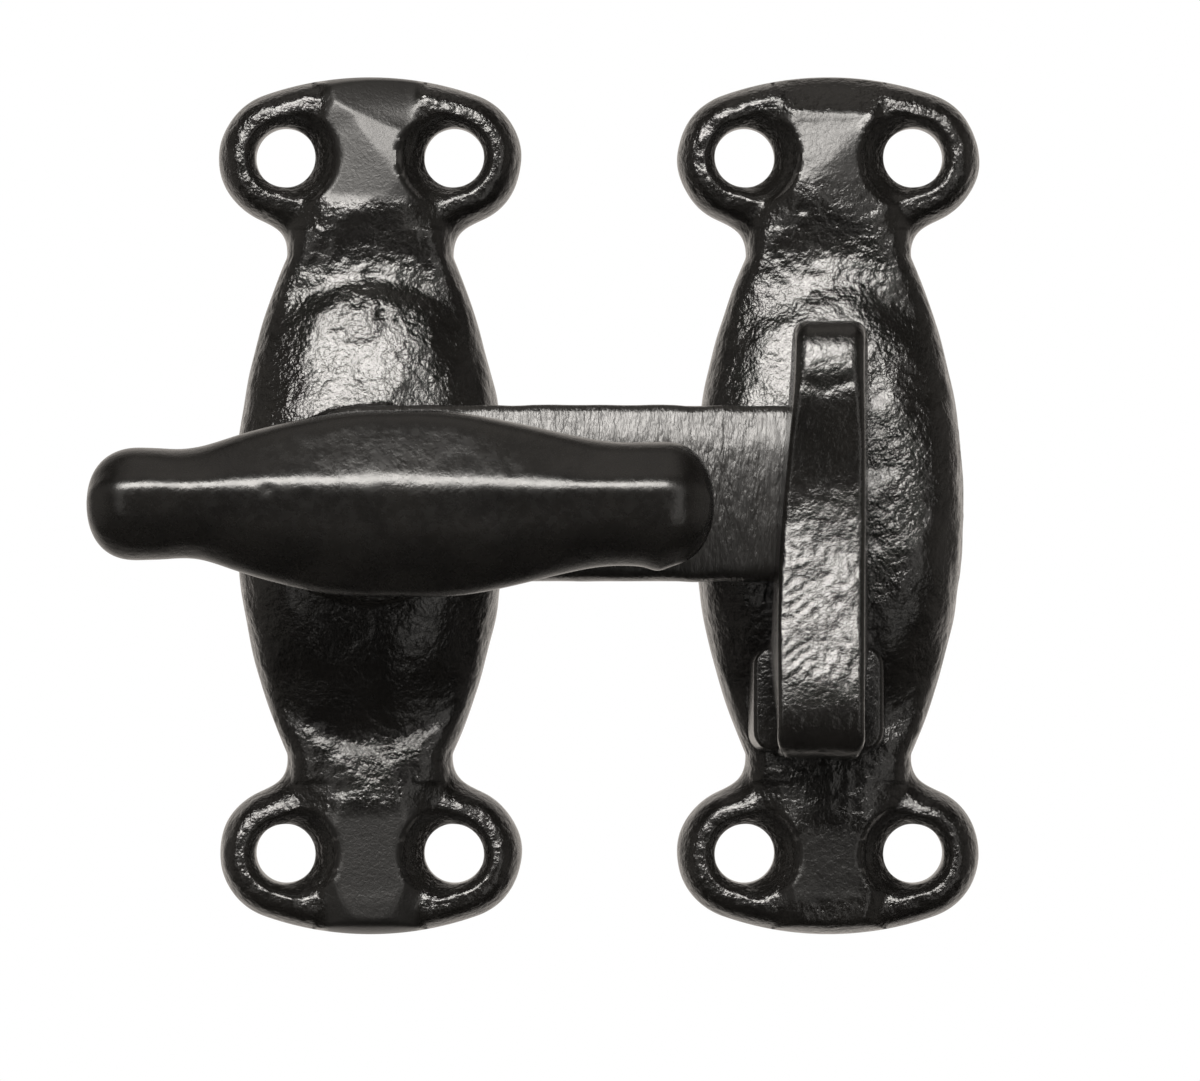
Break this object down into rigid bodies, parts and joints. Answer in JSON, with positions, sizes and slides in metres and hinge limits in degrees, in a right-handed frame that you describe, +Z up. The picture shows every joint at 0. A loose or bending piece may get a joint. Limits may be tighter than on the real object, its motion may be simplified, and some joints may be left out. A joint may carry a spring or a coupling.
{
  "type": "cupboard latch with hook keeper",
  "caption": "Surface-mounted cast iron cupboard latch: a T handle turns a flat arm that drops behind a hook riveted to a matching keeper plate.",
  "frame": {"origin": "on the spindle axis, at the centre of the latch plate's four screw holes, on the plane that both plates are screwed to", "axes": "+X along the latch arm from the latch to the keeper, +Z up, and the front of the latch faces -Y"},
  "size_m": [0.0649, 0.0299, 0.0642],
  "materials": {
    "black_casting": "wrinkled casting under black gloss lacquer",
    "black_arm": "filed flat, black gloss lacquer",
    "black_handle": "smooth black satin lacquer",
    "bare_steel": "turned steel, lightly oiled",
    "spring_steel": "blued spring steel"
  },
  "bodies": {
    "latch_base": {"latch_plate": "black_casting"},
    "turning_handle": {"t_handle": "black_handle", "spindle": "bare_steel", "latch_arm": "black_arm", "thrust_washer": "bare_steel", "spring_washer": "spring_steel", "back_washer": "bare_steel"},
    "keeper": {"keeper_plate": "black_casting", "hook_keeper": "black_casting"}
  },
  "joints": [
    {"name": "handle_turn", "type": "hinge", "parent": "latch_base", "child": "turning_handle", "pos_m": [0, 0, 0], "axis": [0, -1, 0], "range_deg": [-5, 310]},
    {"name": "keeper_parting", "type": "slide", "parent": "latch_base", "child": "keeper", "axis": [1, 0, 0], "range_m": [0, 0.04]}
  ]
}
